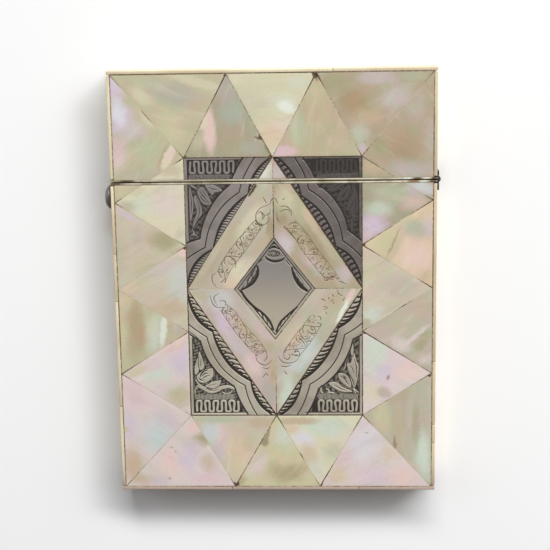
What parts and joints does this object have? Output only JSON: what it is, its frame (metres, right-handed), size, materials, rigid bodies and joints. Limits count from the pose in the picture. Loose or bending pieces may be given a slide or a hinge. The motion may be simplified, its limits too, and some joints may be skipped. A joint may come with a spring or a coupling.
{
  "type": "card case",
  "caption": "Flat pocket case for visiting cards with a mother-of-pearl mosaic front, an engraved metal panel, a side-hinged lid and a push-button catch.",
  "frame": {"origin": "middle of the back face, on which the case lies", "axes": "+X across the width towards the hinge, +Y along the length towards the lid, +Z through the thickness out of the decorated front"},
  "size_m": [0.0817, 0.105, 0.01],
  "materials": {
    "mother_of_pearl": "polished shell",
    "engraved_metal": "engraved white metal, tarnished in its sunk ground",
    "rim_metal": "worn plated metal",
    "dark_metal": "dark oxidised metal",
    "bone": "aged polished bone",
    "carcass_wood": "thin plain wood"
  },
  "bodies": {
    "body": {"back_veneer_body": "mother_of_pearl", "body_rim": "rim_metal", "cartouche": "engraved_metal", "case_body": "carcass_wood", "closing_collar": "rim_metal", "diamond_strip_bottom_left": "mother_of_pearl", "diamond_strip_bottom_right": "mother_of_pearl", "diamond_strip_top_left": "mother_of_pearl", "diamond_strip_top_right": "mother_of_pearl", "edge_body_bottom": "bone", "edge_body_left": "bone", "edge_body_right": "bone", "hinge_leaf_body": "dark_metal", "hinge_pin": "dark_metal", "metal_corner_bottom_left": "engraved_metal", "metal_corner_bottom_right": "engraved_metal", "metal_corner_top_left": "engraved_metal", "metal_corner_top_right": "engraved_metal", "tile_bottom_1": "mother_of_pearl", "tile_bottom_2": "mother_of_pearl", "tile_bottom_3": "mother_of_pearl", "tile_bottom_4": "mother_of_pearl", "tile_bottom_5": "mother_of_pearl", "tile_left_1": "mother_of_pearl", "tile_left_2": "mother_of_pearl", "tile_left_3": "mother_of_pearl", "tile_left_4": "mother_of_pearl", "tile_left_5": "mother_of_pearl", "tile_left_6": "mother_of_pearl", "tile_left_7": "mother_of_pearl", "tile_right_1": "mother_of_pearl", "tile_right_2": "mother_of_pearl", "tile_right_3": "mother_of_pearl", "tile_right_4": "mother_of_pearl", "tile_right_5": "mother_of_pearl", "tile_right_6": "mother_of_pearl", "tile_right_7": "mother_of_pearl"},
    "lid": {"back_veneer_lid": "mother_of_pearl", "case_lid": "carcass_wood", "diamond_strip_top_left_lid": "mother_of_pearl", "diamond_strip_top_right_lid": "mother_of_pearl", "edge_lid_left": "bone", "edge_lid_right": "bone", "edge_lid_top": "bone", "hinge_leaf_lid": "dark_metal", "lid_rim": "rim_metal", "metal_corner_top_left_lid": "engraved_metal", "metal_corner_top_right_lid": "engraved_metal", "tile_left_1_lid": "mother_of_pearl", "tile_left_2_lid": "mother_of_pearl", "tile_right_1_lid": "mother_of_pearl", "tile_right_2_lid": "mother_of_pearl", "tile_top_1": "mother_of_pearl", "tile_top_2": "mother_of_pearl", "tile_top_3": "mother_of_pearl", "tile_top_4": "mother_of_pearl", "tile_top_5": "mother_of_pearl"},
    "button": {"push_button": "dark_metal"}
  },
  "joints": [
    {"name": "lid_hinge", "type": "hinge", "parent": "body", "child": "lid", "pos_m": [0.0395, 0.0258, 0.005], "axis": [0, 0, -1], "range_deg": [0, 95]},
    {"name": "button_press", "type": "slide", "parent": "body", "child": "button", "axis": [1, 0, 0], "range_m": [0, 0.0004], "stiffness_N_per_m": 400}
  ]
}
